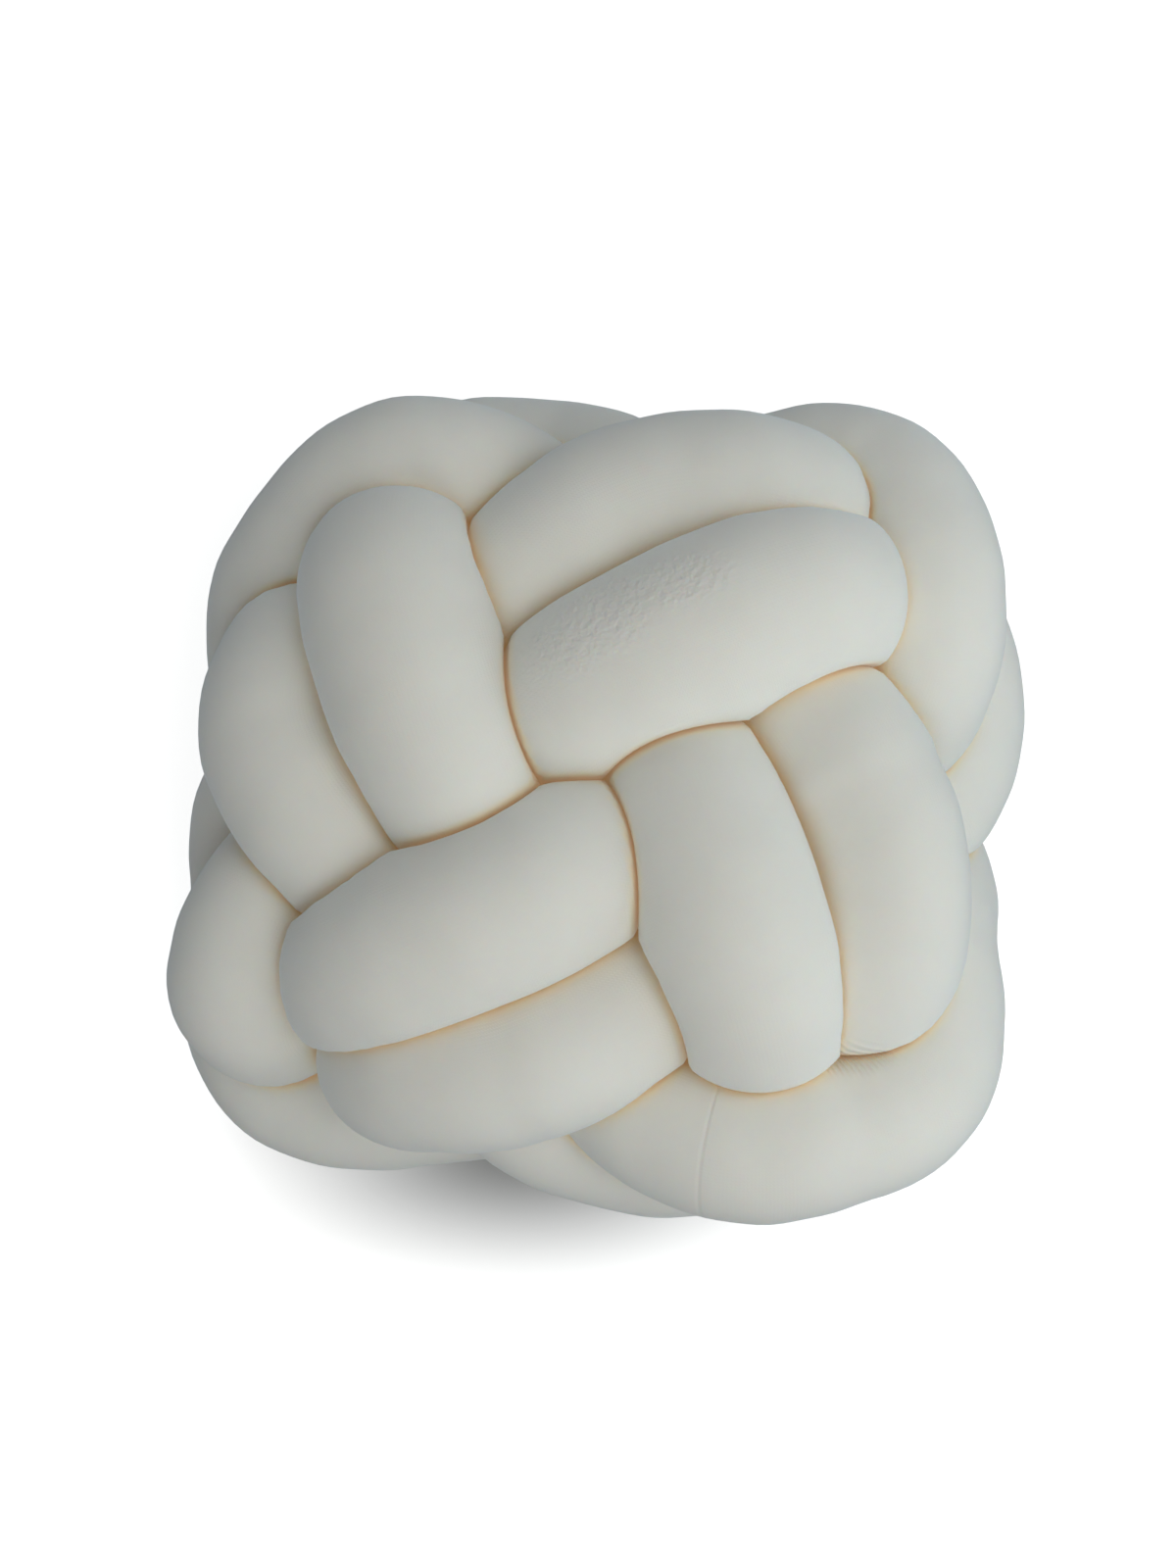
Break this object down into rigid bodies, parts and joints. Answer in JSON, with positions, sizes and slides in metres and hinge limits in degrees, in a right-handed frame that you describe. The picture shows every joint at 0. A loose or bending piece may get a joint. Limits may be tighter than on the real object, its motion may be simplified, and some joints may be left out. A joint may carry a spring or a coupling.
{
  "type": "knot cushion",
  "caption": "Thick square cushion tied as a flat mat knot from one long filled tube of smooth knitted cloth; it lies on its back and is soft to lean or sit against.",
  "frame": {"origin": "on the floor under the middle of the cushion's outline", "axes": "+Z out of the knotted face, which looks up, +X to the right of the face and +Y to its top"},
  "size_m": [0.3299, 0.3215, 0.1746],
  "materials": {
    "ivory_knit": "matte fine knit, ivory"
  },
  "bodies": {
    "root": {"knot_tube": "ivory_knit"}
  },
  "joints": []
}
